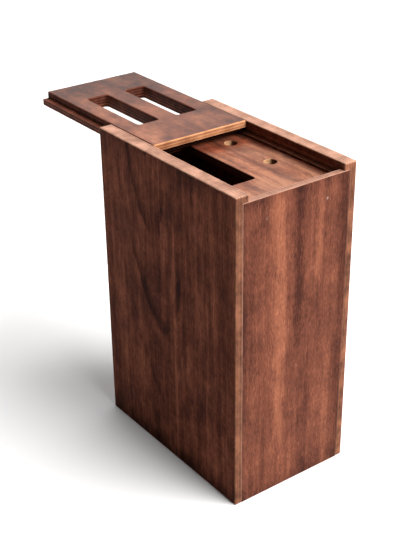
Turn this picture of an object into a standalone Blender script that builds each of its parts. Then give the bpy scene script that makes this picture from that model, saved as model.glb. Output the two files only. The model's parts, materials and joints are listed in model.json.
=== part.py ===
"""Wooden puzzle box: a tall plywood box whose slotted lid slides off over the back.

Frame: metres, +Z up. The origin is the centre of the box's underside. The narrow front
panel faces -Y, the lid slides open along +Y, and +X is the right-hand side wall.
The lid is drawn partly open, which is the assembly's rest position.
"""

import math

import bmesh
import bpy
from mathutils import Vector

MM = 0.001

# ---- overall sizes of the closed box ----
BOX_WIDTH = 120.0 * MM
BOX_DEPTH = 188.0 * MM
BOX_HEIGHT = 283.0 * MM

# ---- sheet thicknesses ----
WALL_THICKNESS = 12.0 * MM
PANEL_THICKNESS = 6.0 * MM
BOTTOM_THICKNESS = 6.0 * MM
INNER_BOARD_THICKNESS = 6.0 * MM

# ---- joinery ----
RABBET_DEPTH = 6.0 * MM          # how far the panels sit into each side wall
FIT_GAP = 0.3 * MM               # between glued pieces
ARRIS_ROUND = 0.7 * MM           # softened outer edges
ARRIS_SEGMENTS = 2

# ---- lid groove in the side walls ----
LIP_HEIGHT = 6.0 * MM            # wood left above the groove
GROOVE_HEIGHT = 6.0 * MM
GROOVE_DEPTH = 6.0 * MM
SLIDE_GAP_SIDE = 0.5 * MM
SLIDE_GAP_HEIGHT = 0.3 * MM

# ---- lid ----
LID_LENGTH = 173.0 * MM
LID_OPENING = 124.1 * MM         # how far the lid stands open at rest
LID_SLOT_LENGTH = 84.0 * MM
LID_SLOT_WIDTH = 21.0 * MM
LID_SLOT_CORNER = 3.2 * MM
LID_SLOT_FROM_FRONT = 48.0 * MM
SLOT_CENTRE_X = 19.9 * MM        # the lid has one slot each side of its middle

# ---- inner board ----
BOARD_DROP = 2.0 * MM            # how far it lies below the floor of the grooves
BOARD_SLOT_LENGTH = 96.5 * MM
BOARD_SLOT_WIDTH = 31.0 * MM
BOARD_SLOT_CORNER = 3.2 * MM
BOARD_SLOT_FROM_FRONT = 46.0 * MM
HOLE_DIAMETER = 11.0 * MM
HOLE_X = 26.6 * MM
HOLE_FROM_FRONT = 65.6 * MM      # nearer hole, box front to hole centre
HOLE_SPACING = 52.6 * MM

# ---- cleats that carry the inner board ----
CLEAT_DEPTH = 12.0 * MM
CLEAT_HEIGHT = 8.0 * MM

# ---- brads through the end panels into the cleats ----
BRAD_LENGTH = 15.0 * MM
BRAD_SHANK_RADIUS = 0.7 * MM
BRAD_HEAD_RADIUS = 1.1 * MM
BRAD_HEAD_HEIGHT = 0.8 * MM
BRAD_HOLE_GAP = 0.15 * MM
BRAD_X = 30.5 * MM               # each side of the middle
BRAD_SEGMENTS = 14

HOLE_SEGMENTS = 40
CORNER_SEGMENTS = 6
CUT_OVERRUN = 5.0 * MM           # how far a cutter runs past the face it opens

# ---- places worked out from the sizes ----
INNER_HALF_WIDTH = BOX_WIDTH / 2 - WALL_THICKNESS
RABBET_HALF_WIDTH = INNER_HALF_WIDTH + RABBET_DEPTH
PANEL_HALF_WIDTH = RABBET_HALF_WIDTH - FIT_GAP
FRONT_Y = -BOX_DEPTH / 2
BACK_Y = BOX_DEPTH / 2
PANEL_RABBET = PANEL_THICKNESS + FIT_GAP
BOTTOM_RABBET = BOTTOM_THICKNESS + FIT_GAP
INSIDE_FRONT_Y = FRONT_Y + PANEL_RABBET
INSIDE_BACK_Y = BACK_Y - PANEL_RABBET
GROOVE_TOP_Z = BOX_HEIGHT - LIP_HEIGHT
GROOVE_BOTTOM_Z = GROOVE_TOP_Z - GROOVE_HEIGHT
BOARD_TOP_Z = GROOVE_BOTTOM_Z - BOARD_DROP
BOARD_UNDER_Z = BOARD_TOP_Z - INNER_BOARD_THICKNESS
CLEAT_TOP_Z = BOARD_UNDER_Z - FIT_GAP
CLEAT_UNDER_Z = CLEAT_TOP_Z - CLEAT_HEIGHT
CLEAT_MIDDLE_Z = (CLEAT_TOP_Z + CLEAT_UNDER_Z) / 2
LID_UNDER_Z = GROOVE_BOTTOM_Z + SLIDE_GAP_HEIGHT
TONGUE_TOP_Z = GROOVE_TOP_Z - SLIDE_GAP_HEIGHT
LID_HALF_WIDTH = INNER_HALF_WIDTH - SLIDE_GAP_SIDE
TONGUE_HALF_WIDTH = INNER_HALF_WIDTH + GROOVE_DEPTH - SLIDE_GAP_SIDE
LID_FRONT_Y = FRONT_Y + LID_OPENING
LID_BACK_Y = LID_FRONT_Y + LID_LENGTH

# ---- stain colours ----
WALL_BROWN = (0.085, 0.030, 0.018, 1.0)
PANEL_RED_BROWN = (0.230, 0.075, 0.038, 1.0)
LID_PINK_BROWN = (0.330, 0.165, 0.115, 1.0)
BOARD_BROWN = (0.260, 0.120, 0.065, 1.0)
PALE_WOOD = (0.560, 0.360, 0.220, 1.0)
BRAD_GREY = (0.520, 0.470, 0.430, 1.0)


def clear_scene():
    for obj in list(bpy.data.objects):
        bpy.data.objects.remove(obj, do_unlink=True)


def make_collection(name):
    collection = bpy.data.collections.new(name)
    bpy.context.scene.collection.children.link(collection)
    return collection


def make_material(name, colour, roughness, metallic=0.0):
    material = bpy.data.materials.new(name)
    material.use_nodes = True
    shader = material.node_tree.nodes["Principled BSDF"]
    shader.inputs["Base Color"].default_value = colour
    shader.inputs["Roughness"].default_value = roughness
    shader.inputs["Metallic"].default_value = metallic
    material.diffuse_color = colour
    return material


def object_from_bmesh(name, bm, collection):
    bmesh.ops.recalc_face_normals(bm, faces=bm.faces)
    mesh = bpy.data.meshes.new(name)
    bm.to_mesh(mesh)
    bm.free()
    obj = bpy.data.objects.new(name, mesh)
    collection.objects.link(obj)
    return obj


def is_upright(edge):
    run = edge.verts[0].co - edge.verts[1].co
    return abs(run.z) > max(abs(run.x), abs(run.y))


def block_bmesh(low, high):
    """A block between two corners, as a bmesh."""
    bm = bmesh.new()
    bmesh.ops.create_cube(bm, size=1.0)
    size = Vector(high) - Vector(low)
    middle = (Vector(high) + Vector(low)) / 2
    bmesh.ops.scale(bm, vec=size, verts=bm.verts)
    bmesh.ops.translate(bm, vec=middle, verts=bm.verts)
    return bm


def make_board(name, low, high, material):
    """A sawn board with its arrises softened."""
    bm = block_bmesh(low, high)
    bmesh.ops.bevel(bm, geom=bm.edges[:], offset=ARRIS_ROUND, segments=ARRIS_SEGMENTS,
                    profile=0.5, affect="EDGES")
    board = object_from_bmesh(name, bm, parts)
    board.data.materials.append(material)
    return board


def make_cutter(name, low, high, corner=0.0):
    """A block that cuts, with its upright corners rounded where a bit turns."""
    bm = block_bmesh(low, high)
    if corner > 0.0:
        upright = [edge for edge in bm.edges if is_upright(edge)]
        bmesh.ops.bevel(bm, geom=upright, offset=corner, segments=CORNER_SEGMENTS,
                        profile=0.5, affect="EDGES")
    cutter = object_from_bmesh(name, bm, cutters)
    cutter.hide_render = True
    cutter.display_type = "WIRE"
    return cutter


def make_round_cutter(name, radius, start, end, segments):
    """A cylinder that cuts, from one point to another."""
    cutter = make_cylinder(name, radius, start, end, segments, cutters)
    cutter.hide_render = True
    cutter.display_type = "WIRE"
    return cutter


def make_cylinder(name, radius, start, end, segments, collection):
    bm = bmesh.new()
    add_cylinder(bm, radius, start, end, segments)
    return object_from_bmesh(name, bm, collection)


def add_cylinder(bm, radius, start, end, segments):
    run = Vector(end) - Vector(start)
    made = bmesh.ops.create_cone(bm, cap_ends=True, segments=segments,
                                 radius1=radius, radius2=radius, depth=run.length)
    turn = run.to_track_quat("Z", "Y").to_matrix()
    bmesh.ops.rotate(bm, matrix=turn, verts=made["verts"])
    bmesh.ops.translate(bm, vec=(Vector(start) + Vector(end)) / 2, verts=made["verts"])


def combine(obj, other, operation):
    """Add or take away another object with an exact boolean modifier."""
    modifier = obj.modifiers.new(f"{operation.lower()} {other.name}", "BOOLEAN")
    modifier.operation = operation
    modifier.solver = "EXACT"
    modifier.object = other


def cut(obj, cutter):
    combine(obj, cutter, "DIFFERENCE")


def make_side_wall(name, side):
    """A side wall, with rabbets for the two end panels and the bottom, and the lid groove."""
    outer = side * BOX_WIDTH / 2
    inner = side * INNER_HALF_WIDTH
    past_inner = side * (INNER_HALF_WIDTH - CUT_OVERRUN)
    rabbet = side * RABBET_HALF_WIDTH
    groove = side * (INNER_HALF_WIDTH + GROOVE_DEPTH)
    low = (min(outer, inner), FRONT_Y, 0.0)
    high = (max(outer, inner), BACK_Y, BOX_HEIGHT)
    wall = make_board(name, low, high, wall_stain)
    rabbet_x = sorted((past_inner, rabbet))
    groove_x = sorted((past_inner, groove))
    cut(wall, make_cutter(f"{name}_front_rabbet_cutter",
                          (rabbet_x[0], FRONT_Y - CUT_OVERRUN, -CUT_OVERRUN),
                          (rabbet_x[1], INSIDE_FRONT_Y, GROOVE_TOP_Z)))
    cut(wall, make_cutter(f"{name}_back_rabbet_cutter",
                          (rabbet_x[0], INSIDE_BACK_Y, -CUT_OVERRUN),
                          (rabbet_x[1], BACK_Y + CUT_OVERRUN, GROOVE_BOTTOM_Z)))
    cut(wall, make_cutter(f"{name}_bottom_rabbet_cutter",
                          (rabbet_x[0], FRONT_Y - CUT_OVERRUN, -CUT_OVERRUN),
                          (rabbet_x[1], BACK_Y + CUT_OVERRUN, BOTTOM_RABBET)))
    cut(wall, make_cutter(f"{name}_groove_cutter",
                          (groove_x[0], FRONT_Y + PANEL_THICKNESS, GROOVE_BOTTOM_Z),
                          (groove_x[1], BACK_Y + CUT_OVERRUN, GROOVE_TOP_Z)))
    return wall


def make_end_panel(name, outer_y, inward, top_z):
    """A front or back panel, seated in the side walls' rabbets."""
    inner_y = outer_y + inward * PANEL_THICKNESS
    return make_board(name,
                      (-PANEL_HALF_WIDTH, min(outer_y, inner_y), 0.0),
                      (PANEL_HALF_WIDTH, max(outer_y, inner_y), top_z),
                      panel_stain)


def make_bottom_panel():
    return make_board("bottom_panel",
                      (-PANEL_HALF_WIDTH, INSIDE_FRONT_Y, 0.0),
                      (PANEL_HALF_WIDTH, INSIDE_BACK_Y, BOTTOM_THICKNESS),
                      board_stain)


def make_inner_board():
    """The board under the lid, with one long slot and two finger-sized holes."""
    half_width = INNER_HALF_WIDTH - FIT_GAP
    board = make_board("inner_board",
                       (-half_width, INSIDE_FRONT_Y, BOARD_UNDER_Z),
                       (half_width, INSIDE_BACK_Y, BOARD_TOP_Z),
                       board_stain)
    slot_front = FRONT_Y + BOARD_SLOT_FROM_FRONT
    cut(board, make_cutter("inner_board_slot_cutter",
                           (-SLOT_CENTRE_X - BOARD_SLOT_WIDTH / 2, slot_front,
                            BOARD_UNDER_Z - CUT_OVERRUN),
                           (-SLOT_CENTRE_X + BOARD_SLOT_WIDTH / 2, slot_front + BOARD_SLOT_LENGTH,
                            BOARD_TOP_Z + CUT_OVERRUN),
                           BOARD_SLOT_CORNER))
    for index in range(2):
        hole_y = FRONT_Y + HOLE_FROM_FRONT + index * HOLE_SPACING
        cut(board, make_round_cutter(f"inner_board_hole_{index + 1}_cutter",
                                     HOLE_DIAMETER / 2,
                                     (HOLE_X, hole_y, BOARD_UNDER_Z - CUT_OVERRUN),
                                     (HOLE_X, hole_y, BOARD_TOP_Z + CUT_OVERRUN),
                                     HOLE_SEGMENTS))
    return board


def make_cleat(name, outer_y, inward):
    """A strip behind an end panel, which carries one end of the inner board."""
    start_y = outer_y + inward * PANEL_RABBET
    end_y = start_y + inward * CLEAT_DEPTH
    half_width = INNER_HALF_WIDTH - FIT_GAP
    return make_board(name,
                      (-half_width, min(start_y, end_y), CLEAT_UNDER_Z),
                      (half_width, max(start_y, end_y), CLEAT_TOP_Z),
                      board_stain)


def make_brad(name, x, outer_y, inward, panel, cleat):
    """A headed brad, flush in the panel's face, and the hole that it fills."""
    face = Vector((x, outer_y, CLEAT_MIDDLE_Z))
    along = Vector((0.0, inward, 0.0))
    head_end = face + along * BRAD_HEAD_HEIGHT
    tip = face + along * BRAD_LENGTH
    brad = make_cylinder(name, BRAD_SHANK_RADIUS, head_end - along * BRAD_HEAD_HEIGHT / 2, tip,
                         BRAD_SEGMENTS, parts)
    brad.data.materials.append(brad_steel)
    head = make_round_cutter(f"{name}_head_former", BRAD_HEAD_RADIUS, face, head_end,
                             BRAD_SEGMENTS)
    combine(brad, head, "UNION")
    shank_hole = make_round_cutter(f"{name}_shank_cutter", BRAD_SHANK_RADIUS + BRAD_HOLE_GAP,
                                   face - along * CUT_OVERRUN, tip + along * FIT_GAP,
                                   BRAD_SEGMENTS)
    head_hole = make_round_cutter(f"{name}_head_cutter", BRAD_HEAD_RADIUS + BRAD_HOLE_GAP,
                                  face - along * CUT_OVERRUN, head_end + along * BRAD_HOLE_GAP,
                                  BRAD_SEGMENTS)
    cut(panel, shank_hole)
    cut(panel, head_hole)
    cut(cleat, shank_hole)
    return brad


def make_lid():
    """The sliding lid: a tongue runs in each wall's groove, and the front laps the front panel."""
    lid = make_board("sliding_lid",
                     (-TONGUE_HALF_WIDTH, LID_FRONT_Y, LID_UNDER_Z),
                     (TONGUE_HALF_WIDTH, LID_BACK_Y, BOX_HEIGHT),
                     lid_stain)
    for side, word in ((-1, "left"), (1, "right")):
        shoulder_x = sorted((side * LID_HALF_WIDTH, side * (TONGUE_HALF_WIDTH + CUT_OVERRUN)))
        cut(lid, make_cutter(f"lid_{word}_shoulder_cutter",
                             (shoulder_x[0], LID_FRONT_Y - CUT_OVERRUN, TONGUE_TOP_Z),
                             (shoulder_x[1], LID_BACK_Y + CUT_OVERRUN,
                              BOX_HEIGHT + CUT_OVERRUN)))
        slot_x = side * SLOT_CENTRE_X
        slot_front = LID_FRONT_Y + LID_SLOT_FROM_FRONT
        cut(lid, make_cutter(f"lid_{word}_slot_cutter",
                             (slot_x - LID_SLOT_WIDTH / 2, slot_front,
                              LID_UNDER_Z - CUT_OVERRUN),
                             (slot_x + LID_SLOT_WIDTH / 2, slot_front + LID_SLOT_LENGTH,
                              BOX_HEIGHT + CUT_OVERRUN),
                             LID_SLOT_CORNER))
    cut(lid, make_cutter("lid_front_lap_cutter",
                         (-TONGUE_HALF_WIDTH - CUT_OVERRUN, LID_FRONT_Y - CUT_OVERRUN,
                          LID_UNDER_Z - CUT_OVERRUN),
                         (TONGUE_HALF_WIDTH + CUT_OVERRUN, LID_FRONT_Y + PANEL_RABBET,
                          GROOVE_TOP_Z)))
    return lid


def hang_on_slide(lid):
    """Put the lid's origin on its slide axis, at the middle of the lid's front edge."""
    axis_point = Vector((0.0, LID_FRONT_Y, LID_UNDER_Z))
    slide = bpy.data.objects.new("lid_slide_axis", None)
    slide.empty_display_size = 0.03
    slide.location = axis_point
    parts.objects.link(slide)
    lid.parent = slide
    lid.matrix_parent_inverse.translation = -axis_point
    return slide


clear_scene()
parts = make_collection("wooden_puzzle_box")
cutters = make_collection("puzzle_box_cutters")

wall_stain = make_material("dark walnut stain on side walls", WALL_BROWN, 0.45)
panel_stain = make_material("red brown stain on end panels", PANEL_RED_BROWN, 0.45)
lid_stain = make_material("rubbed stain on lid", LID_PINK_BROWN, 0.55)
board_stain = make_material("brown stain on inner boards", BOARD_BROWN, 0.55)
brad_steel = make_material("steel brads", BRAD_GREY, 0.35, 0.9)

left_wall = make_side_wall("left_wall", -1)
right_wall = make_side_wall("right_wall", 1)
front_panel = make_end_panel("front_panel", FRONT_Y, 1, GROOVE_TOP_Z - FIT_GAP)
back_panel = make_end_panel("back_panel", BACK_Y, -1, GROOVE_BOTTOM_Z - FIT_GAP)
bottom_panel = make_bottom_panel()
inner_board = make_inner_board()
front_cleat = make_cleat("front_cleat", FRONT_Y, 1)
back_cleat = make_cleat("back_cleat", BACK_Y, -1)

for brad_side, brad_word in ((-1, "left"), (1, "right")):
    brad_x = brad_side * BRAD_X
    make_brad(f"front_brad_{brad_word}", brad_x, FRONT_Y, 1, front_panel, front_cleat)
    make_brad(f"back_brad_{brad_word}", brad_x, BACK_Y, -1, back_panel, back_cleat)

sliding_lid = make_lid()
hang_on_slide(sliding_lid)
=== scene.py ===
# %% [markdown]
# # A plywood puzzle box with a sliding lid
#
# The box is five stained plywood boards glued into rabbets, an inner board on two cleats, and a
# lid that slides in grooves off over the back. Each piece is a sheet of thin veneers, so the
# stripes of the veneers show wherever a board is cut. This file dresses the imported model: it
# makes each board again with softened, slightly uneven edges and raised veneers, and gives every
# surface a stained-wood finish made of nodes.

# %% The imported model
import json
import math

import bmesh
import bpy
from mathutils import Matrix, Vector

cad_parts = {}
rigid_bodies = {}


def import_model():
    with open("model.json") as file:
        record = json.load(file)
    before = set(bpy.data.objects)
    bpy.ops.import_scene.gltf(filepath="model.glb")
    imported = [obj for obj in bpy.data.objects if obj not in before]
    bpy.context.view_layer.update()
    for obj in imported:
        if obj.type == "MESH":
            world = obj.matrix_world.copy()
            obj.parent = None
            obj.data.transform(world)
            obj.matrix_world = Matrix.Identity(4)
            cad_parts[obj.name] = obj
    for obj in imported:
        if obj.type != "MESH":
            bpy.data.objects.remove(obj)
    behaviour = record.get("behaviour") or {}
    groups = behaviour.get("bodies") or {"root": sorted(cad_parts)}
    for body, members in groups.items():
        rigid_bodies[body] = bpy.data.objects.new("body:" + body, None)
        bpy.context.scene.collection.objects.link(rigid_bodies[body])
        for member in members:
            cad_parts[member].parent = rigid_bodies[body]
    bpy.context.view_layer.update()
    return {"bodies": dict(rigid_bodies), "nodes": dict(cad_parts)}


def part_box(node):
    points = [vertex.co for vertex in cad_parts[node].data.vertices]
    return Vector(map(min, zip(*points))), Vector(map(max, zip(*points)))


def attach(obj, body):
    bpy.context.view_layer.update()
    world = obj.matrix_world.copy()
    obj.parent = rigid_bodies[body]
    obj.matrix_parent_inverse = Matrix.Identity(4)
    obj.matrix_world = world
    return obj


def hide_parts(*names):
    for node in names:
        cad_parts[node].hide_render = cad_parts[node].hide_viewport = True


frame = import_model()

MM = 0.001
scene = bpy.context.scene


def add_object(name, data):
    """A new object in the scene, at the origin."""
    item = bpy.data.objects.new(name, data)
    scene.collection.objects.link(item)
    return item


print("bodies:", ", ".join(frame["bodies"]))

# %% [markdown]
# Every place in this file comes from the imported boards, so the first step reads where each board
# lies. A board is a flat box, and its shortest side is the way its veneers are stacked.

# %% Where the boards lie
X_AXIS = 0
Y_AXIS = 1
Z_AXIS = 2


def corners(node):
    low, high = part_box(node)
    return Vector(low), Vector(high)


def stack_axis(low, high):
    """The axis across the sheet's thickness."""
    size = high - low
    return min((X_AXIS, Y_AXIS, Z_AXIS), key=lambda axis: size[axis])


LEFT_WALL = corners("left_wall")
RIGHT_WALL = corners("right_wall")
FRONT_PANEL = corners("front_panel")
BACK_PANEL = corners("back_panel")
BOTTOM_PANEL = corners("bottom_panel")
INNER_BOARD = corners("inner_board")
LID = corners("sliding_lid")
BOX_TOP = LEFT_WALL[1].z
TONGUE_TOP = FRONT_PANEL[1].z
BOX_HEIGHT = BOX_TOP - LEFT_WALL[0].z
print("box height:", round(BOX_HEIGHT, 4))

# %% [markdown]
# ## Camera, floor and light
#
# The box stands on a wide pale floor, which glows a little far away and so runs on into a pale
# backdrop. A large soft light to the front right leaves the left wall in shade, and a dim
# surrounding light fills the shade.

# %% The camera
CAMERA_AZIMUTH = math.radians(-36.48)
CAMERA_ELEVATION = math.radians(27.96)
CAMERA_ROLL = math.radians(-0.59)
CAMERA_DISTANCE = 0.9855
CAMERA_SIDE_STEP = -0.0136
CAMERA_UP_STEP = 0.0146
CAMERA_LENS = 73.02              # millimetres, on a sensor of this width:
CAMERA_SENSOR = 36.0


def direction(azimuth, elevation):
    """Unit vector towards a place: azimuth 0 is in front of the box, 90 degrees is its right."""
    return Vector((math.sin(azimuth) * math.cos(elevation),
                   -math.cos(azimuth) * math.cos(elevation), math.sin(elevation)))


def place_camera():
    """A camera that looks at the middle of the box, stepped a little to frame the open lid."""
    back = direction(CAMERA_AZIMUTH, CAMERA_ELEVATION)
    level = Vector((0.0, 0.0, 1.0)).cross(back).normalized()
    upright = back.cross(level)
    right = level * math.cos(CAMERA_ROLL) + upright * math.sin(CAMERA_ROLL)
    up = back.cross(right)
    place = (Vector((0.0, 0.0, BOX_HEIGHT / 2)) + back * CAMERA_DISTANCE
             + right * CAMERA_SIDE_STEP + up * CAMERA_UP_STEP)
    lens = bpy.data.cameras.new("camera")
    lens.lens = CAMERA_LENS
    lens.sensor_width = CAMERA_SENSOR
    camera = add_object("camera", lens)
    turn = Matrix((right, up, back)).transposed().to_4x4()
    camera.matrix_world = Matrix.Translation(place) @ turn
    scene.camera = camera
    return camera


print("camera at", [round(value, 3) for value in place_camera().matrix_world.translation])

# %% [markdown]
# A node tree can be wired by hand in the editor, or in a script. This small helper makes a node,
# sets its options and joins or fills its sockets in one call, and it serves the geometry trees
# and the material trees alike.

# %% A helper for wiring nodes


class Wiring:
    """Makes and joins the nodes of one tree."""

    def __init__(self, tree):
        self.tree = tree

    def feed(self, socket, value):
        if isinstance(value, bpy.types.NodeSocket):
            self.tree.links.new(value, socket)
        elif value is not None:
            socket.default_value = value

    def node(self, kind, *values, **options):
        node = self.tree.nodes.new(kind)
        for name, value in options.items():
            setattr(node, name, value)
        for socket, value in zip(node.inputs, values):
            self.feed(socket, value)
        return node

    def math(self, operation, *values):
        return self.node("ShaderNodeMath", *values, operation=operation).outputs[0]

    def plus(self, first, second):
        return self.math("ADD", first, second)

    def minus(self, first, second):
        return self.math("SUBTRACT", first, second)

    def times(self, first, second):
        return self.math("MULTIPLY", first, second)

    def over(self, first, second):
        return self.math("DIVIDE", first, second)

    def times_plus(self, value, factor, offset):
        """value times factor, plus offset."""
        return self.math("MULTIPLY_ADD", value, factor, offset)

    def vector(self, operation, *values):
        return self.node("ShaderNodeVectorMath", *values, operation=operation).outputs[0]

    def split(self, vector):
        return self.node("ShaderNodeSeparateXYZ", vector).outputs

    def join(self, x, y, z):
        return self.node("ShaderNodeCombineXYZ", x, y, z).outputs[0]

    def span(self, value, low, high, to_low=0.0, to_high=1.0):
        """Map low..high smoothly to a new range, clamped."""
        node = self.node("ShaderNodeMapRange", value, low, high, to_low, to_high,
                         interpolation_type="SMOOTHSTEP")
        return node.outputs[0]

    def noise(self, place, size, detail=2.0, roughness=0.5):
        """Noise from 0 to 1 whose blobs are about one size across."""
        node = self.node("ShaderNodeTexNoise", noise_dimensions="3D")
        self.feed(node.inputs["Vector"], place)
        self.feed(node.inputs["Scale"], 1.0 / size)
        self.feed(node.inputs["Detail"], detail)
        self.feed(node.inputs["Roughness"], roughness)
        return node.outputs[0]

    def dice(self, number):
        """A random value from 0 to 1, the same each time for the same number."""
        node = self.node("ShaderNodeTexWhiteNoise", noise_dimensions="1D")
        self.feed(node.inputs["W"], number)
        return node.outputs[0]

    def blend(self, factor, first, second, blend_type="MIX"):
        node = self.node("ShaderNodeMix", data_type="RGBA", blend_type=blend_type)
        for socket, value in zip((node.inputs[0], node.inputs[6], node.inputs[7]),
                                 (factor, first, second)):
            self.feed(socket, value)
        return node.outputs[2]

    def ramp(self, value, stops):
        node = self.node("ShaderNodeValToRGB", value)
        elements = node.color_ramp.elements
        while len(elements) < len(stops):
            elements.new(1.0)
        for element, (place, colour) in zip(elements, stops):
            element.position = place
            element.color = colour
        return node.outputs[0]


def rgb(red, green, blue):
    return (red, green, blue, 1.0)


def new_material(name):
    """A material and its Principled shader, with a wiring helper for its tree."""
    material = bpy.data.materials.new(name)
    material.use_nodes = True
    return material, material.node_tree.nodes["Principled BSDF"], Wiring(material.node_tree)


print("wiring helper ready")

# %% Floor, light and surround
FLOOR_REACH = 200.0
FLOOR_WHITE = (0.80, 0.80, 0.805)
FLOOR_GLOW = 0.85                # far away, where the light no longer reaches
GLOW_START = 4.0                 # metres from the box
GLOW_FULL = 13.0
KEY_AZIMUTH = math.radians(29.0)
KEY_ELEVATION = math.radians(47.0)
KEY_DISTANCE = 9.0
KEY_SIZE = 7.5
KEY_POWER = 2120.0
KEY_COLOUR = (1.0, 0.99, 0.975)
KEY_AIM = 0.6                    # how high up the box the light points
SURROUND_DIM = 0.07
SURROUND_BRIGHT = 1.5
SURROUND_EDGE = 0.45             # cosine of the angle at which the bright side has faded out
HAZE_LOW = 0.002                 # the haze over the far end of the floor ends between these
HAZE_HIGH = 0.008


def make_floor():
    bm = bmesh.new()
    bmesh.ops.create_circle(bm, cap_ends=True, segments=64, radius=FLOOR_REACH)
    mesh = bpy.data.meshes.new("studio_floor")
    bm.to_mesh(mesh)
    bm.free()
    paper, shader, wires = new_material("pale paper")
    shader.inputs["Base Color"].default_value = rgb(*FLOOR_WHITE)
    shader.inputs["Roughness"].default_value = 0.9
    shader.inputs["Specular IOR Level"].default_value = 0.1
    shader.inputs["Emission Color"].default_value = rgb(1.0, 1.0, 1.0)
    place = wires.node("ShaderNodeTexCoord").outputs["Object"]
    distance = wires.node("ShaderNodeVectorMath", place, operation="LENGTH").outputs["Value"]
    glow = wires.span(distance, GLOW_START, GLOW_FULL, 0.0, FLOOR_GLOW)
    wires.feed(shader.inputs["Emission Strength"], glow)
    mesh.materials.append(paper)
    add_object("studio_floor", mesh)


def make_window_light():
    toward = direction(KEY_AZIMUTH, KEY_ELEVATION)
    light = bpy.data.lights.new("window light", "AREA")
    light.shape = "SQUARE"
    light.size = KEY_SIZE
    light.energy = KEY_POWER
    light.color = KEY_COLOUR
    lamp = add_object("window light", light)
    lamp.location = Vector((0.0, 0.0, BOX_HEIGHT * KEY_AIM)) + toward * KEY_DISTANCE
    lamp.rotation_euler = toward.to_track_quat("Z", "Y").to_euler()


def light_surround():
    """A dim room that is brighter opposite the camera, where its glow slides over the tops."""
    world = bpy.data.worlds.new("pale surround")
    world.use_nodes = True
    wires = Wiring(world.node_tree)
    ray = wires.node("ShaderNodeTexCoord").outputs["Generated"]
    glow_direction = direction(CAMERA_AZIMUTH + math.pi, CAMERA_ELEVATION)
    facing = wires.node("ShaderNodeVectorMath", ray, glow_direction, operation="DOT_PRODUCT")
    strength = wires.span(facing.outputs["Value"], SURROUND_EDGE, 1.0, SURROUND_DIM,
                          SURROUND_BRIGHT)
    haze = wires.span(wires.split(ray)["Z"], HAZE_LOW, HAZE_HIGH, 1.0, 0.0)
    strength = wires.plus(strength, haze)
    background = world.node_tree.nodes["Background"]
    background.inputs["Color"].default_value = rgb(1.0, 1.0, 1.0)
    wires.feed(background.inputs["Strength"], strength)
    scene.world = world


make_floor()
make_window_light()
light_surround()
scene.view_settings.view_transform = "Standard"
print("floor, one window light and a dim surround")

# %% [markdown]
# ## The boards as geometry
#
# Every board here is the same kind of thing: a stack of veneers whose sawn edges stand a few
# hundredths of a millimetre in or out, with the outer corners rubbed round. One Geometry Nodes
# tree makes that block: it draws the board's outline as a curve, carries it through the thickness
# in fine rings, and pulls each ring in a little. Turned inside out, the same tree makes the cutter
# for a slot, hole or groove, so that a cut wall shows the same veneers and the same rubbed corner.
# The tree's Z is the way the veneers are stacked, and its zero is the middle of the sheet.

# %% The veneer block tree
EDGE_SPACING = 3.0 * MM          # from one mesh column to the next along an edge
RING_SPACING = 0.24 * MM         # from one mesh ring to the next across the thickness
PLY_RELIEF = 0.07 * MM           # how unevenly the veneers end
HAND_WANDER = 0.12 * MM          # sanding by hand along an edge
NICK_DEPTH = 0.35 * MM           # small knocks on a corner
NICK_REACH = 2.2 * MM            # how far from a corner they can lie
WANDER_LENGTH = 38 * MM
NICK_LENGTH = 7 * MM
NICK_START = 0.62                # the noise above which an edge is knocked, and fully so
NICK_FULL = 0.80
FACE_ON = 0.99                   # a normal this far along Z belongs to a face, not to an edge


def add_inputs(tree, inputs):
    for name, kind, value in inputs:
        socket = tree.interface.new_socket(name, in_out="INPUT", socket_type="NodeSocket" + kind)
        if value is not None:
            socket.default_value = value


def outline_curve(wires, given, width, length):
    """A rectangle with rounded corners, with points close enough together for the nicks."""
    square = wires.node("GeometryNodeCurvePrimitiveQuadrilateral", width, length)
    rounded = wires.node("GeometryNodeFilletCurve", square.outputs[0], given["Corner Points"],
                         given["Corner"], True, mode="POLY")
    place = wires.node("GeometryNodeInputPosition").outputs[0]
    index = wires.node("GeometryNodeInputIndex").outputs[0]
    following = wires.node("GeometryNodeOffsetPointInCurve", index, 1).outputs[1]
    there = wires.node("GeometryNodeFieldAtIndex", place, following, data_type="FLOAT_VECTOR",
                       domain="POINT")
    span = wires.node("ShaderNodeVectorMath", place, there.outputs[0], operation="DISTANCE")
    cuts = wires.math("FLOOR", wires.over(span.outputs["Value"], given["Spacing"]))
    return wires.node("GeometryNodeSubdivideCurve", rounded.outputs[0], cuts).outputs[0]


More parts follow.
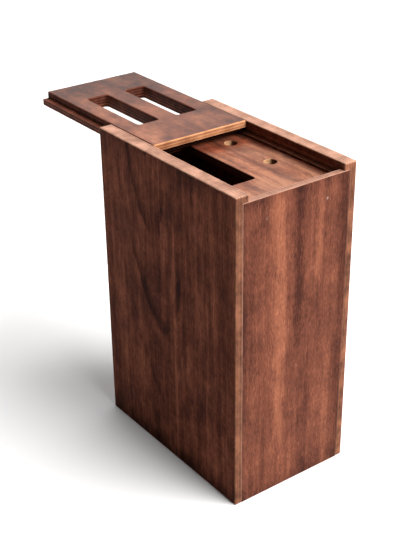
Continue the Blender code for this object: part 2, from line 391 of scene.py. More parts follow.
def make_block_tree():
    tree = bpy.data.node_groups.new("veneer block", "GeometryNodeTree")
    tree.interface.new_socket("Geometry", in_out="OUTPUT", socket_type="NodeSocketGeometry")
    add_inputs(tree, [
        ("Size", "Vector", (100 * MM, 100 * MM, 12 * MM)),
        ("Middle", "Vector", (0.0, 0.0, 0.0)),
        ("Sheet Thickness", "Float", 12 * MM),
        ("Plies", "Int", 9),
        ("Corner", "Float", 0.7 * MM),
        ("Corner Points", "Int", 3),
        ("Arris", "Float", 0.7 * MM),
        ("Relief", "Float", PLY_RELIEF),
        ("Wander", "Float", HAND_WANDER),
        ("Nicks", "Float", NICK_DEPTH),
        ("Inward", "Float", 1.0),
        ("Spacing", "Float", EDGE_SPACING),
        ("Ring Spacing", "Float", RING_SPACING),
        ("Seed", "Int", 1),
        ("Edge Material", "Material", None),
        ("Face Material", "Material", None),
    ])
    wires = Wiring(tree)
    given = wires.node("NodeGroupInput").outputs
    width, length, height = wires.split(given["Size"])

    half_height = wires.times(height, 0.5)
    stack = wires.node("GeometryNodeCurvePrimitiveLine",
                       wires.join(0.0, 0.0, wires.times(half_height, -1.0)),
                       wires.join(0.0, 0.0, half_height))
    rings = wires.math("CEIL", wires.over(height, given["Ring Spacing"]))
    ringed = wires.node("GeometryNodeResampleCurve", mode="COUNT")
    wires.feed(ringed.inputs["Curve"], stack.outputs[0])
    wires.feed(ringed.inputs["Count"], wires.plus(rings, 1.0))
    block = wires.node("GeometryNodeCurveToMesh")
    wires.feed(block.inputs["Curve"], ringed.outputs[0])
    wires.feed(block.inputs["Profile Curve"], outline_curve(wires, given, width, length))
    wires.feed(block.inputs["Fill Caps"], True)

    place = wires.node("GeometryNodeInputPosition").outputs[0]
    x, y, z = wires.split(place)
    sheet_z = wires.plus(z, wires.split(given["Middle"])[2])
    thickness = given["Sheet Thickness"]
    below_face = wires.minus(wires.times(thickness, 0.5), wires.math("ABSOLUTE", sheet_z))
    arris = given["Arris"]
    depth = wires.math("MINIMUM", wires.math("MAXIMUM", below_face, 0.0), arris)
    rise = wires.minus(arris, depth)
    circle = wires.minus(wires.times(arris, arris), wires.times(rise, rise))
    rounding = wires.minus(arris, wires.math("SQRT", circle))

    through = wires.plus(wires.over(sheet_z, thickness), 0.5)
    ply = wires.math("FLOOR", wires.times(through, given["Plies"]))
    uneven = wires.times(wires.dice(wires.plus(ply, given["Seed"])), given["Relief"])

    spot = wires.vector("ADD", wires.vector("ADD", place, given["Middle"]),
                        wires.join(given["Seed"], 0.0, 0.0))
    wander = wires.times(wires.noise(spot, WANDER_LENGTH), given["Wander"])
    near_arris = wires.span(below_face, NICK_REACH, 0.0)
    knocks = wires.span(wires.noise(spot, NICK_LENGTH, 1.0), NICK_START, NICK_FULL)
    nicks = wires.times(wires.times(knocks, near_arris), given["Nicks"])
    inset = wires.plus(wires.plus(rounding, uneven), wires.plus(wander, nicks))
    inset = wires.times(inset, given["Inward"])

    def drawn_in(coordinate, side):
        half = wires.times(side, 0.5)
        share = wires.minus(1.0, wires.over(inset, half))
        return wires.times(coordinate, share)

    moved = wires.join(drawn_in(x, width), drawn_in(y, length), z)
    shaped = wires.node("GeometryNodeSetPosition")
    wires.feed(shaped.inputs["Geometry"], block.outputs[0])
    wires.feed(shaped.inputs["Position"], wires.vector("ADD", moved, given["Middle"]))
    real = wires.node("GeometryNodeRealizeInstances", shaped.outputs[0])
    edged = wires.node("GeometryNodeSetMaterial", real.outputs[0], True, given["Edge Material"])
    normal = wires.node("GeometryNodeInputNormal").outputs[0]
    flat = wires.math("GREATER_THAN", wires.math("ABSOLUTE", wires.split(normal)[2]), FACE_ON)
    faced = wires.node("GeometryNodeSetMaterial", edged.outputs[0], flat, given["Face Material"])
    wires.node("NodeGroupOutput", faced.outputs[0])
    return tree


block_tree = make_block_tree()
print("block tree with", len(block_tree.nodes), "nodes")

# %% [markdown]
# The tree is only a recipe. The next helper gives it to a fresh object, fills its inputs by their
# identifiers, and keeps the result as a plain mesh.

# %% From the tree to a mesh
blank_mesh = bpy.data.meshes.new("blank")


def input_identifier(tree, name):
    for item in tree.interface.items_tree:
        if item.item_type == "SOCKET" and item.in_out == "INPUT" and item.name == name:
            return item.identifier
    raise KeyError(name)


def modified_mesh(item):
    """A plain copy of the object's mesh with its modifiers applied."""
    graph = bpy.context.evaluated_depsgraph_get()
    return bpy.data.meshes.new_from_object(item.evaluated_get(graph))


def run_tree(tree, values):
    """The mesh that a Geometry Nodes tree makes from these named inputs."""
    holder = add_object("holder", blank_mesh)
    modifier = holder.modifiers.new("tree", "NODES")
    modifier.node_group = tree
    for name, value in values.items():
        modifier[input_identifier(tree, name)] = value
    mesh = modified_mesh(holder)
    bpy.data.objects.remove(holder)
    return mesh


def in_sheet(vector, axis):
    """World directions to the sheet's own: its Z is the axis across the thickness."""
    return Vector((vector[(axis + 1) % 3], vector[(axis + 2) % 3], vector[axis]))


def sheet_to_world(middle, axis):
    turn = Matrix.Identity(4)
    for row in range(3):
        for column in range(3):
            turn[row][column] = 1.0 if (axis + 1 + column) % 3 == row else 0.0
    return Matrix.Translation(middle) @ turn


print("tree runner ready")

# %% [markdown]
# A board starts as a block the size of its packed box. Its rabbets, groove, slots and holes are
# then cut with blocks from the same tree, run inside out. All of this happens in the sheet's own
# directions, and only then is the mesh turned and moved to its place on the box.

# %% Boards and their cuts
PASS = 2.0 * MM                  # how far a cutter runs past the surface it opens
JOINT_GAP = 0.3 * MM
CREASE_ANGLE = math.radians(35.0)
LARGE_FLAT = 100 * MM * MM       # a face this large keeps its own flat shading


def block(low, high, axis, sheet, look, inward=1.0):
    """A veneer block between two world corners, in the directions of the sheet it belongs to."""
    middle = (sheet[0] + sheet[1]) / 2
    size = in_sheet(high - low, axis)
    thickness = (sheet[1] - sheet[0])[axis]
    values = {"Size": size, "Middle": in_sheet((low + high) / 2 - middle, axis),
              "Sheet Thickness": thickness, "Inward": inward, **look}
    return run_tree(block_tree, values)


def cut_away(mesh, cutter):
    """The mesh less the cutter, which is used up."""
    target = add_object("target", mesh)
    tool = add_object("tool", cutter)
    modifier = target.modifiers.new("cut", "BOOLEAN")
    modifier.operation = "DIFFERENCE"
    modifier.solver = "EXACT"
    modifier.material_mode = "TRANSFER"
    modifier.object = tool
    result = modified_mesh(target)
    for item in (target, tool):
        bpy.data.objects.remove(item)
    return result


def finish_mesh(name, mesh, place):
    """Name the mesh, put it in its place, and shade it smooth up to its creases."""
    mesh.name = name
    mesh.transform(place)
    mesh.shade_smooth()
    mesh.set_sharp_from_angle(angle=CREASE_ANGLE)
    for polygon in mesh.polygons:
        if polygon.area > LARGE_FLAT:
            for loop in polygon.loop_indices:
                mesh.edges[mesh.loops[loop].edge_index].use_edge_sharp = True
    return add_object(name, mesh)


def make_board(node, body, look, cuts, edge, face):
    """Build one board around its packed box, cut it, and put it in the node's place."""
    sheet = corners(node)
    axis = stack_axis(*sheet)
    inks = {"Edge Material": edge, "Face Material": face}
    mesh = block(*sheet, axis, sheet, {**look, **inks})
    cutter_look = {**look, "Edge Material": edge, "Face Material": edge}
    for low, high, extra in cuts:
        mesh = cut_away(mesh, block(low, high, axis, sheet, {**cutter_look, **extra}, inward=-1.0))
    place = sheet_to_world((sheet[0] + sheet[1]) / 2, axis)
    piece = finish_mesh("finished_" + node, mesh, place)
    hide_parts(node)
    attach(piece, body)
    print(piece.name, len(mesh.polygons), "faces")
    return piece


WALL_PLIES = 9
PANEL_PLIES = 5
WALL_LOOK = {"Plies": WALL_PLIES, "Arris": 0.8 * MM, "Corner": 0.9 * MM, "Nicks": NICK_DEPTH}
PANEL_LOOK = {"Plies": PANEL_PLIES, "Arris": 0.4 * MM, "Corner": 0.4 * MM, "Nicks": 0.2 * MM}
HIDDEN_CUT = {"Arris": 0.15 * MM, "Corner": 0.1 * MM, "Nicks": 0.0, "Wander": 0.0,
              "Spacing": 20.0 * MM}

# %% [markdown]
# ## The stained wood
#
# The veneers are cheap tropical plywood under a thin reddish-brown stain that was wiped on and
# rubbed back. What the eye reads as wood is several patterns at very different scales, all drawn
# out along the grain: broad bands, narrow streaks, fibres and pores. Clouds where the rag left
# more stain lie over them in no direction. Each pattern is a noise in coordinates measured across
# and along the grain, and their sum picks the colour from one ramp from dark to light stain.

# %% Grain coordinates and noises
STAIN_STOPS = (
    (0.00, rgb(0.018, 0.0046, 0.0032)),
    (0.25, rgb(0.060, 0.0172, 0.0100)),
    (0.50, rgb(0.135, 0.0425, 0.0243)),
    (0.75, rgb(0.235, 0.0800, 0.0430)),
    (1.00, rgb(0.400, 0.1600, 0.0850)),
)
SEED_STEP = 7.31                 # so that no two noises of one material are alike
BUMP_STRENGTH = 0.7
THROUGH_STRETCH = 60.0           # how fast a pattern changes through the thickness, per metre


class Grain:
    """The places of one sheet inside a material tree: across, along and through its grain."""

    def __init__(self, wires, sheet, along_axis, seed):
        self.wires = wires
        self.sheet = sheet
        self.through_axis = stack_axis(*sheet)
        self.along_axis = along_axis
        self.across_axis = 3 - self.through_axis - along_axis
        self.place = wires.node("ShaderNodeTexCoord").outputs["Object"]
        parts = wires.split(self.place)
        self.across = parts[self.across_axis]
        self.along = parts[self.along_axis]
        self.through = parts[self.through_axis]
        self.seed = seed

    def bend(self, size, reach):
        """Let every pattern made after this wander sideways by up to reach."""
        wires = self.wires
        sway = self.noise(size, size * 2.2, 1.0)
        shift = wires.times_plus(sway, 2.0 * reach, -reach)
        self.across = wires.plus(self.across, shift)

    def noise(self, size_across, size_along, detail=2.0, roughness=0.5):
        """Noise with blobs of these sizes across and along the grain; each call differs."""
        wires = self.wires
        self.seed += SEED_STEP
        spot = wires.join(wires.over(self.across, size_across),
                          wires.over(self.along, size_along),
                          wires.times_plus(self.through, THROUGH_STRETCH, self.seed))
        return wires.noise(spot, 1.0, detail, roughness)

    def edge_distance(self):
        """How far a place lies from the nearest outer edge of the sheet."""
        wires = self.wires
        parts = wires.split(self.place)
        nearest = None
        for axis in (self.across_axis, self.along_axis):
            low, high = self.sheet[0][axis], self.sheet[1][axis]
            gaps = (wires.minus(parts[axis], low), wires.minus(high, parts[axis]))
            for gap in gaps:
                nearest = gap if nearest is None else wires.math("MINIMUM", nearest, gap)
        return nearest


def total(wires, base, terms):
    """base plus each noise, centred on zero and weighted."""
    value = base
    for noise, weight in terms:
        term = wires.times_plus(noise, weight, -0.5 * weight)
        value = wires.plus(value, term)
    return value


def set_surface(wires, shader, colour, roughness, height, depth, gloss):
    wires.feed(shader.inputs["Base Color"], colour)
    wires.feed(shader.inputs["Roughness"], roughness)
    shader.inputs["Specular IOR Level"].default_value = gloss
    bump = wires.node("ShaderNodeBump")
    bump.inputs["Strength"].default_value = BUMP_STRENGTH
    bump.inputs["Distance"].default_value = depth
    wires.feed(bump.inputs["Height"], height)
    wires.feed(shader.inputs["Normal"], bump.outputs[0])


print("grain helper ready")

# %% [markdown]
# The face of a board adds three things of its own. A flat-sawn veneer shows growth rings as nested
# U shapes: the cone of rings cut by a plane. Some boards grow darker towards chosen edges: at the
# foot of the walls and on the inner board this is painted shade, and a negative amount on the
# walls' inner faces is painted light. And the corners, where hands rub, are paler because the
# stain has worn through.

# %% The face veneer
DARKEST_IN_RING = 0.85           # a growth ring darkens slowly outwards and ends abruptly
WEAKER_RING = 0.65               # how much weaker every second ring is
FULL_RINGS = 3.0                 # rings beyond these are faint
SMEAR_FADE = 40 * MM
STAIN_FILM = rgb(0.23, 0.165, 0.13)   # stain dried on the surface, where it wasn't wiped off
WORN_WOOD = rgb(0.40, 0.20, 0.115)


def ring_figure(wires, grain, figure):
    """Growth rings cut by a plane: 0 to 1, dark lines in lighter wood, as nested U shapes."""
    rise = wires.minus(grain.along, figure["apex_along"])
    lean = wires.times(rise, figure["lean"])
    aside = wires.minus(wires.minus(grain.across, figure["apex_across"]), lean)
    depth = wires.times_plus(rise, -figure["taper"], figure["pith_depth"])
    square = wires.plus(wires.times(aside, aside), wires.times(depth, depth))
    radius = wires.math("SQRT", square)
    sway = grain.noise(26 * MM, 34 * MM)
    fine_sway = grain.noise(5 * MM, 9 * MM)
    radius = total(wires, radius, ((sway, 9 * MM), (fine_sway, 2 * MM)))
    rings = wires.over(wires.minus(radius, figure["pith_depth"]), figure["ring"])
    rings = wires.plus(rings, DARKEST_IN_RING)
    step = wires.math("FRACT", rings)
    late_wood = wires.times(wires.span(step, 0.25, DARKEST_IN_RING - 0.05),
                            wires.span(step, 1.0, DARKEST_IN_RING))
    number = wires.math("FLOOR", rings)
    second = wires.math("MODULO", wires.math("ABSOLUTE", number), 2.0)
    strength = wires.times_plus(second, -WEAKER_RING, 1.0)
    strength = wires.times(strength, wires.span(number, FULL_RINGS, 0.0, 0.3, 1.0))
    patchy = wires.span(grain.noise(22 * MM, 40 * MM, 2.0), 0.30, 0.62, 0.25, 1.0)
    near = wires.span(wires.math("ABSOLUTE", aside), figure["reach"], 0.4 * figure["reach"],
                      0.2, 1.0)
    figured = wires.times(wires.times(late_wood, strength), patchy)
    return wires.times(figured, near)


def edge_shade(wires, grain, shades):
    """Darker towards chosen edges: (axis, edge place, reach into the board, amount). A negative
    amount makes it paler. Some of these rows are painted shade, and the negative ones painted
    light.
    """
    parts = wires.split(grain.place)
    ragged = grain.noise(20 * MM, 26 * MM, 3.0)
    total_shade = 0.0
    for axis, edge, reach, amount in shades:
        distance = wires.math("ABSOLUTE", wires.minus(parts[axis], edge))
        uneven = wires.times_plus(ragged, 1.6 * reach, -0.8 * reach)
        shade = wires.span(wires.plus(distance, uneven), reach, 0.0, 0.0, amount)
        total_shade = wires.plus(total_shade, shade)
    return total_shade


def smear(wires, grain, axis, middle, width, amount, start, end):
    """A soft stripe of less stain (amount above 0) or more, fading out at its ends."""
    parts = wires.split(grain.place)
    wobble = grain.noise(18 * MM, 60 * MM, 2.0)
    aside = wires.minus(parts[axis], middle)
    aside = wires.math("ABSOLUTE", total(wires, aside, ((wobble, 1.6 * width),)))
    stripe = wires.span(aside, width, 0.0)
    ends = wires.times(wires.span(grain.along, start, start + SMEAR_FADE),
                       wires.span(grain.along, end, end - SMEAR_FADE))
    return wires.times(wires.times(stripe, ends), amount)


def face_veneer(name, sheet, along_axis, seed, bands=1.0, streaks=1.0, clouds=1.0, grit=1.0,
                tone=0.5, figure=None, shades=(), smears=(), gloss=0.12, wear=0.6, grey=0.0,
                painted_shadow_tint=None):
    """Stained veneer: bands to grit weigh its patterns, and tone sets how pale it is."""
    material, shader, wires = new_material(name)
    grain = Grain(wires, sheet, along_axis, seed)
    cloud = grain.noise(34 * MM, 42 * MM, 3.0, 0.6)
    mottle = grain.noise(7 * MM, 16 * MM, 3.0, 0.6)
    ripple = grain.noise(16 * MM, 1.3 * MM, 1.0)
    grain.bend(30 * MM, 3.0 * MM)
    band = grain.noise(13 * MM, 300 * MM, 1.0)
    streak = grain.noise(3.4 * MM, 110 * MM, 2.0)
    fine_streak = grain.noise(1.1 * MM, 45 * MM, 2.0)
    short_grain = grain.noise(1.0 * MM, 4.5 * MM, 2.0, 0.7)
    fibre = grain.noise(0.42 * MM, 9 * MM, 2.0, 0.6)
    pore = wires.span(grain.noise(0.40 * MM, 4.2 * MM, 1.0), 0.60, 0.72)
    value = total(wires, tone, ((cloud, 0.55 * clouds), (mottle, 0.38 * clouds),
                                (ripple, 0.06), (band, 0.75 * bands), (streak, 0.50 * streaks),
                                (fine_streak, 0.30 * streaks), (short_grain, 0.40 * grit),
                                (fibre, 0.30 * grit)))
    for row in smears:
        value = wires.plus(value, smear(wires, grain, *row))
    if figure:
        rings = wires.times(ring_figure(wires, grain, figure), -figure["contrast"])
        value = wires.plus(value, rings)
    # darker towards chosen edges: stain on some boards, painted shade on others, and painted light
    # where an amount is negative
    if shades:
        shade = edge_shade(wires, grain, shades)
        value = wires.minus(value, shade)
    value = wires.times_plus(pore, -0.16, value)
    colour = wires.ramp(value, STAIN_STOPS)
    if grey:
        film = wires.times(wires.span(cloud, 0.35, 0.65, 0.3, 1.0), grey)
        colour = wires.blend(film, colour, STAIN_FILM)
    # painted shadow: where the painted shade is deep, the colour turns a warmer red, like light
    # bounced into shadow
    if painted_shadow_tint:
        colour = wires.blend(wires.span(shade, 0.02, 0.30), colour, painted_shadow_tint, "MULTIPLY")
    rub = total(wires, grain.edge_distance(), ((mottle, 3.0 * MM), (fibre, 0.6 * MM)))
    worn = wires.span(rub, 1.5 * MM, 0.1 * MM, 0.0, wear)
    colour = wires.blend(worn, colour, WORN_WOOD)
    roughness = total(wires, 0.50, ((cloud, 0.25), (fibre, 0.20), (mottle, 0.15)))
    height = total(wires, 0.5, ((fibre, 0.8), (fine_streak, 0.5), (ripple, 0.15)))
    height = wires.times_plus(pore, -0.5, height)
    set_surface(wires, shader, colour, roughness, height, 0.10 * MM, gloss)
    return material


print("face veneer ready")

# %% [markdown]
# A sawn edge shows the stack. Veneers laid along the edge are pale with long fine fibres, and the
# ones between them, seen end on, drink more stain and show dark specks. A thin dark line of glue
# lies between each two.

# %% The veneer edges
FIBRE_LENGTH = 7 * MM
FIBRE_WIDTH = 0.32 * MM
SPECK_SIZE = 0.55 * MM
BLOTCH_SIZE = 11 * MM


def veneer_edge(name, sheet, along_axis, plies, seed, pale, deep, stripe=0.42, gloss=0.15,
                blotches=0.8, wear_and_painted_shade=()):
    """The sawn edge of a sheet: pale and deep are its two stains, stripe how they differ.
    Bands near given places recolour it: worn bare wood, and in the drilled holes painted shade.
    """
    material, shader, wires = new_material(name)
    grain = Grain(wires, sheet, along_axis, seed)
    low, high = sheet[0][grain.through_axis], sheet[1][grain.through_axis]
    wavy = grain.noise(30 * MM, 30 * MM, 1.0)
    level = total(wires, grain.through, ((wavy, 0.12 * MM),))
    count = wires.times(wires.over(wires.minus(level, low), high - low), plies)
    number = wires.math("FLOOR", count)
    inside = wires.math("FRACT", count)
    end_on = wires.math("MODULO", wires.math("ABSOLUTE", number), 2.0)
    chance = wires.dice(wires.plus(number, float(seed)))

    parts = wires.split(grain.place)
    stretched = [wires.over(part, FIBRE_LENGTH) for part in parts]
    stretched[grain.through_axis] = wires.over(grain.through, FIBRE_WIDTH)
    fibres = wires.noise(wires.join(*stretched), 1.0, 2.0, 0.6)
    specks = wires.noise(grain.place, SPECK_SIZE, 2.0, 0.6)
    blotch = wires.noise(grain.place, BLOTCH_SIZE, 3.0, 0.6)
    texture = wires.node("ShaderNodeMix", end_on, data_type="FLOAT")
    wires.feed(texture.inputs[2], fibres)
    wires.feed(texture.inputs[3], specks)
    texture = texture.outputs[0]

    value = wires.times_plus(end_on, -stripe, 0.5 + stripe / 2)
    value = total(wires, value, ((texture, 0.7), (blotch, blotches), (chance, 0.26)))
    glue = wires.math("MAXIMUM", wires.span(inside, 0.10, 0.02), wires.span(inside, 0.91, 0.98))
    value = wires.times_plus(glue, -0.7 * stripe, value)
    middle = [(first + second) / 2 for first, second in zip(pale, deep)]
    darkest = [channel * 0.35 for channel in deep]
    palest = [min(1.0, channel * 1.35) for channel in pale]
    colour = wires.ramp(value, ((0.0, rgb(*darkest)), (0.25, rgb(*deep)), (0.5, rgb(*middle)),
                                (0.75, rgb(*pale)), (1.0, rgb(*palest))))
    # each band is worn bare wood, except the drilled holes' band, which is painted shade
    for axis, edge, reach, band_pale, band_deep in wear_and_painted_shade:
        distance = wires.math("ABSOLUTE", wires.minus(parts[axis], edge))
        bare_and_painted_shade = wires.ramp(value, ((0.12, rgb(*band_deep)), (0.78, rgb(*band_pale))))
        colour = wires.blend(wires.span(distance, reach, 0.3 * reach), colour, bare_and_painted_shade)
    roughness = total(wires, 0.62, ((texture, 0.3), (blotch, 0.2)))
    height = total(wires, 0.5, ((texture, 0.9),))
    height = wires.times_plus(glue, -0.4, height)
    set_surface(wires, shader, colour, roughness, height, 0.12 * MM, gloss)
    return material


print("veneer edge ready")

# %% [markdown]
# ### The finish of each board
#
# Each board gets its own face and edge. The numbers below say how strong its bands and clouds
# are, where its growth rings peak, where stain was left thick or rubbed thin, and where shade or
# light is painted on. A smear is one wipe of the rag: the axis it is measured on, its middle, half
# its width, how much paler it is, and where it starts and ends along the grain. A shade is an
# axis, the place of an edge, how far in it reaches, and how much darker it is there; the shades
# marked below as painted stand in for shade or light.

# %% Wall finishes
WALL_BACK = LEFT_WALL[1].y
LEFT_FIGURE = {"apex_across": WALL_BACK - 88.6 * MM, "apex_along": 128 * MM, "lean": 0.14,
               "taper": 0.246, "pith_depth": 48.2 * MM, "ring": 9.85 * MM, "reach": 60 * MM,
               "contrast": 0.24}
RIGHT_FIGURE = {"apex_across": 20 * MM, "apex_along": 190 * MM, "lean": -0.10, "taper": 0.20,
                "pith_depth": 44 * MM, "ring": 11 * MM, "reach": 70 * MM, "contrast": 0.26}
# painted shade: the walls grow darker towards the floor, standing in for the contact shade at
# their foot; they also grow darker towards the top
WALL_PAINTED_FOOT_SHADE_AND_DARK_TOP = ((Z_AXIS, 0.0, 20 * MM, 0.18), (Z_AXIS, BOX_TOP, 16 * MM, 0.12))


def wall_face(name, wall, inner_x, seed, figure, smears):
    # painted light: this negative amount makes the wall's inner face paler, standing in for light
    # that the dim surround does not give it
    inside = ((X_AXIS, inner_x, 0.5 * MM, -0.22),)
    return face_veneer(name, wall, Z_AXIS, seed, bands=0.55, streaks=0.8, clouds=1.15,
                       grit=1.2, tone=0.36, figure=figure, shades=WALL_PAINTED_FOOT_SHADE_AND_DARK_TOP + inside,
                       smears=smears, gloss=0.01)


LEFT_SMEARS = (
    (Y_AXIS, WALL_BACK - 106 * MM, 3.0 * MM, 0.12, -0.10, 0.26),
    (Y_AXIS, WALL_BACK - 150 * MM, 3.5 * MM, 0.14, -0.05, 0.20),
    (Y_AXIS, WALL_BACK - 118 * MM, 5.0 * MM, -0.10, 0.02, 0.40),
    (Y_AXIS, WALL_BACK - 30 * MM, 14.0 * MM, 0.07, 0.02, 0.20),
)
RIGHT_SMEARS = (
    (Y_AXIS, -40 * MM, 4.0 * MM, 0.12, -0.10, 0.24),
    (Y_AXIS, 60 * MM, 8.0 * MM, -0.12, 0.05, 0.40),
)
LEFT_FACE = wall_face("left wall veneer", LEFT_WALL, LEFT_WALL[1].x, 3.0, LEFT_FIGURE,
                      LEFT_SMEARS)
RIGHT_FACE = wall_face("right wall veneer", RIGHT_WALL, RIGHT_WALL[0].x, 211.0, RIGHT_FIGURE,
                       RIGHT_SMEARS)


def wall_edge(name, wall, seed, lift=1.0):
    """Worn along the top, and paler everywhere by the factor lift."""
    worn_top = (Z_AXIS, BOX_TOP, 1.5 * MM, (0.50, 0.272, 0.190), (0.21, 0.102, 0.068))
    pale = [lift * channel for channel in (0.200, 0.080, 0.044)]
    deep = [lift * channel for channel in (0.070, 0.026, 0.015)]
    return veneer_edge(name, wall, Z_AXIS, WALL_PLIES, seed, pale=pale, deep=deep, stripe=0.18,
                       gloss=0.06, wear_and_painted_shade=(worn_top,), blotches=1.4)


def groove_wood(name, wall, seed):
    """The grooves were cut after the staining, so they show barer wood."""
    return veneer_edge(name, wall, Z_AXIS, WALL_PLIES, seed, pale=(0.54, 0.25, 0.15),
                       deep=(0.26, 0.100, 0.058), stripe=0.16, gloss=0.01)


LEFT_EDGE = wall_edge("left wall edges", LEFT_WALL, 5)
RIGHT_EDGE = wall_edge("right wall edges", RIGHT_WALL, 6, 1.3)
LEFT_GROOVE = groove_wood("left groove wood", LEFT_WALL, 7)
RIGHT_GROOVE = groove_wood("right groove wood", RIGHT_WALL, 8)

# %% Panel finishes
PANEL_LEFT = FRONT_PANEL[0].x
PANEL_SMEARS = (
    (X_AXIS, PANEL_LEFT + 38 * MM, 10 * MM, 0.25, 0.02, 0.34),
    (X_AXIS, PANEL_LEFT + 57 * MM, 9 * MM, -0.25, 0.12, 0.42),
    (X_AXIS, PANEL_LEFT + 77 * MM, 7 * MM, 0.22, 0.17, 0.44),
    (X_AXIS, PANEL_LEFT + 12 * MM, 9 * MM, -0.08, 0.10, 0.40),
    (X_AXIS, PANEL_LEFT + 90 * MM, 7 * MM, 0.12, -0.10, 0.15),
    (X_AXIS, PANEL_LEFT + 66 * MM, 9 * MM, -0.12, -0.10, 0.14),
)
PANEL_SHADES = (
    (X_AXIS, FRONT_PANEL[1].x, 13 * MM, 0.16),
    (X_AXIS, PANEL_LEFT, 6 * MM, 0.14),
    (Z_AXIS, 0.0, 26 * MM, 0.12),
    (Z_AXIS, TONGUE_TOP, 14 * MM, 0.10),
)
PANEL_FACE = face_veneer("panel face veneer", FRONT_PANEL, Z_AXIS, 41.0, bands=0.3,
                         streaks=0.6, clouds=0.85, grit=1.5, tone=0.470, shades=PANEL_SHADES,
                         smears=PANEL_SMEARS, gloss=0.05, wear=0.0)
PANEL_EDGE = veneer_edge("panel veneer edges", FRONT_PANEL, Z_AXIS, PANEL_PLIES, 9,
                         pale=(0.41, 0.215, 0.150), deep=(0.20, 0.090, 0.055), stripe=0.22)

# %% Inner board, lid and cleats
BOARD_RIGHT = INNER_BOARD[1].x
BOARD_SMEARS = (
    (X_AXIS, 6 * MM, 6 * MM, 0.20, -0.20, 0.30),
    (X_AXIS, 38 * MM, 4 * MM, 0.26, -0.20, 0.30),
    (X_AXIS, 17 * MM, 2.5 * MM, -0.14, -0.20, 0.30),
)
# painted shadows on the inner board:
BOARD_PAINTED_SHADOWS = (
    # the lid's shadow, darkest under its front edge and fading out in front of it
    (Y_AXIS, LID[0].y + 12 * MM, 45 * MM, 0.42),
    # the shadow cast by the right wall
    (X_AXIS, BOARD_RIGHT, 7 * MM, 0.30),
    # the shade in the gap between the board and the right wall
    (X_AXIS, BOARD_RIGHT, 1.6 * MM, 0.45),
)
# its shades are painted shadow, tinted warm red where they are deep
BOARD_FACE = face_veneer("inner board veneer", INNER_BOARD, Y_AXIS, 71.0, bands=1.0,
                         streaks=1.4, clouds=1.6, grit=1.6, tone=0.80, smears=BOARD_SMEARS,
                         gloss=0.10, grey=0.27, wear=0.0, shades=BOARD_PAINTED_SHADOWS,
                         painted_shadow_tint=rgb(1.0, 0.60, 0.45))
# The board's cut edges are a dark stain made darker still as painted shade, so that the slot's far
# end under the lid looks to lie in the lid's shadow.
BOARD_EDGE_STAIN_AND_PAINTED_SHADE = veneer_edge("inner board edges", INNER_BOARD, Y_AXIS, PANEL_PLIES, 13,
                         pale=(0.090, 0.030, 0.018), deep=(0.034, 0.011, 0.008), stripe=0.30,
                         gloss=0.05)
HOLE_RADIUS = 5.5 * MM
HOLE_X = 26.6 * MM
# painted shade: the right side of each drilled hole, whose wall faces away from the light, is
# coloured dark
HOLE_PAINTED_SHADE = (X_AXIS, HOLE_X + HOLE_RADIUS, 0.50 * HOLE_RADIUS, (0.09, 0.034, 0.020),
              (0.030, 0.010, 0.007))
BARE_WOOD = veneer_edge("bare drilled wood", INNER_BOARD, Y_AXIS, PANEL_PLIES, 14,
                        pale=(0.62, 0.36, 0.19), deep=(0.30, 0.15, 0.075), stripe=0.20,
                        gloss=0.05, wear_and_painted_shade=(HOLE_PAINTED_SHADE,))
LID_SMEARS = (
    (X_AXIS, -38 * MM, 10 * MM, 0.16, -0.10, 0.16),
    (X_AXIS, 30 * MM, 12 * MM, -0.10, 0.06, 0.30),
)
LID_SHADES = (
    (Y_AXIS, LID[1].y, 120 * MM, 0.22),
    (Y_AXIS, LID[0].y + 45 * MM, 12 * MM, 0.10),
)
LID_FACE = face_veneer("lid face veneer", LID, Y_AXIS, 97.0, bands=0.2, streaks=0.25,
                       clouds=2.2, grit=0.6, tone=0.56, gloss=0.16, grey=0.14, wear=0.5,
                       smears=LID_SMEARS, shades=LID_SHADES)
BARE_FRONT = (Y_AXIS, LID[0].y, 4 * MM, (0.58, 0.27, 0.130), (0.20, 0.070, 0.032))
LID_EDGE = veneer_edge("lid veneer edges", LID, Y_AXIS, WALL_PLIES, 17,
                       pale=(0.14, 0.044, 0.025), deep=(0.045, 0.013, 0.009), stripe=0.30,
                       gloss=0.05, blotches=1.1, wear_and_painted_shade=(BARE_FRONT,))
# painted shadow: the lapped step under the lid's front end is coloured near black, as if in the
# lid's shadow
LAP_PAINTED_SHADOW = veneer_edge("dark lap under the lid", LID, Y_AXIS, WALL_PLIES, 19,
                       pale=(0.030, 0.010, 0.006), deep=(0.012, 0.004, 0.003), gloss=0.02)
CLEAT_WOOD = face_veneer("cleat wood", corners("front_cleat"), X_AXIS, 131.0, bands=0.5,
                         tone=0.6)


def brad_steel(name, dark, middle, bright, metallic):
    """Dull steel, darker where stain was wiped over the heads."""
    material, shader, wires = new_material(name)
    place = wires.node("ShaderNodeTexCoord").outputs["Object"]
    smudge = wires.noise(place, 0.9 * MM, 3.0, 0.6)
    colour = wires.ramp(smudge, ((0.30, dark), (0.55, middle), (0.75, bright)))
    roughness = wires.span(smudge, 0.3, 0.7, 0.6, 0.35)
    set_surface(wires, shader, colour, roughness, smudge, 0.03 * MM, 0.5)
    shader.inputs["Metallic"].default_value = metallic
    return material


BARE_STEEL = brad_steel("rubbed brad steel", rgb(0.09, 0.045, 0.032), rgb(0.30, 0.19, 0.14),
                        rgb(0.55, 0.45, 0.38), 0.6)
STAINED_STEEL = brad_steel("stained brad steel", rgb(0.045, 0.014, 0.009),
                           rgb(0.09, 0.030, 0.018), rgb(0.15, 0.055, 0.033), 0.2)
print(len(bpy.data.materials), "materials")

# %% [markdown]
# ### The two side walls
#
# The walls are thick boards. Each has a rabbet along its front, back and bottom for the thin
# panels, and a groove near the top for the lid's tongue. The rabbets are hidden once the panels
# are in, so their cuts are coarse. The groove shows when the lid is open, so its cut is fine.

